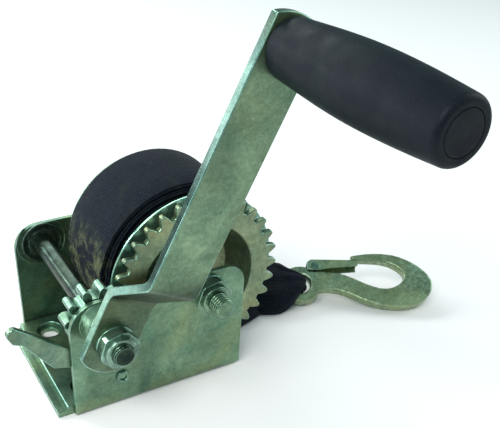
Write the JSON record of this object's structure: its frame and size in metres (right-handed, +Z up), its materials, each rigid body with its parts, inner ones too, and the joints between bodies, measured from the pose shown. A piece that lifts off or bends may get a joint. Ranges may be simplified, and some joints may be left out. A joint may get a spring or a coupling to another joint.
{
  "type": "boat trailer winch",
  "caption": "Hand winch with a U-shaped zinc-plated frame, geared crank with a barrel grip, ratchet pawl, wound webbing strap and a snap hook.",
  "frame": {"origin": "centre of the base on its mounting face", "axes": "+X the way the strap pulls, -Y the crank side, +Z up"},
  "size_m": [0.3196, 0.2723, 0.2435],
  "materials": {
    "zinc_sheet": "bright zinc plated sheet",
    "zinc_arm": "zinc plated bar",
    "zinc_bolt": "zinc plated",
    "gear_zinc": "zinc plated stamping",
    "hook_zinc": "zinc plated forging",
    "latch_zinc": "zinc plated sheet",
    "spring_steel": "bright spring wire",
    "bushing": "dull sintered bronze",
    "nylon": "nylon",
    "grip_plastic": "textured black plastic",
    "webbing": "woven black polyester webbing"
  },
  "bodies": {
    "frame": {"frame": "zinc_sheet", "base_doubler_plate": "zinc_sheet", "near_pinion_bushing": "bushing", "far_pinion_bushing": "bushing", "drum_axle_bolt": "zinc_bolt", "drum_axle_washers": "zinc_bolt", "drum_lock_nut": "zinc_bolt", "drum_nut_insert": "nylon", "axle_sleeve": "zinc_bolt", "drum_spacers": "zinc_bolt", "pawl_washer": "zinc_bolt", "pawl_rivet": "zinc_bolt", "pawl_spring": "spring_steel", "strap_tail": "webbing"},
    "crank": {"pinion_shaft": "zinc_bolt", "shaft_retaining_ring": "spring_steel", "pinion_gear": "gear_zinc", "crank_spacer": "zinc_bolt", "crank_arm": "zinc_arm", "crank_washer": "zinc_bolt", "crank_lock_nut": "zinc_bolt", "crank_nut_insert": "nylon", "grip_pin": "zinc_bolt", "grip_push_nut": "spring_steel"},
    "grip": {"grip": "grip_plastic", "grip_end_cap": "grip_plastic"},
    "drum": {"drum_gear": "gear_zinc", "gear_side_flange": "gear_zinc", "drum_core": "zinc_sheet", "far_flange": "zinc_sheet", "drum_bushings": "bushing", "strap_roll": "webbing"},
    "pawl": {"pawl_lever": "zinc_arm"},
    "hook": {"hook_body": "hook_zinc", "hook_latch_rivet": "hook_zinc", "hook_latch_spring": "spring_steel"},
    "latch": {"hook_latch": "latch_zinc"}
  },
  "joints": [
    {"name": "crank_spin", "type": "hinge", "parent": "frame", "child": "crank", "pos_m": [-0.03911, 0, 0.06663], "axis": [0, 1, 0], "continuous": true},
    {"name": "drum_spin", "type": "hinge", "parent": "frame", "child": "drum", "pos_m": [0.03182, 0, 0.06663], "axis": [0, 1, 0], "continuous": true},
    {"name": "grip_spin", "type": "hinge", "parent": "crank", "child": "grip", "pos_m": [0.03997, 0, 0.22665], "axis": [0, 1, 0], "continuous": true},
    {"name": "pawl_swing", "type": "hinge", "parent": "frame", "child": "pawl", "pos_m": [-0.02652, 0, 0.02143], "axis": [0, 1, 0], "range_deg": [-8, 5]},
    {"name": "hook_swing", "type": "hinge", "parent": "frame", "child": "hook", "pos_m": [0.1285, -0.00097, 0.01056], "axis": [-0.3809, -0.7982, -0.4667], "range_deg": [0, 70]},
    {"name": "latch_swing", "type": "hinge", "parent": "hook", "child": "latch", "pos_m": [0.15437, -0.00012, 0.018], "axis": [0.241, 0.4016, -0.8835], "range_deg": [0, 22], "stiffness_Nm_per_rad": 0.05, "springref_deg": -22.92}
  ],
  "couplings": [
    {"joint": "drum_spin", "follows": "crank_spin", "ratio": -0.32258}
  ]
}
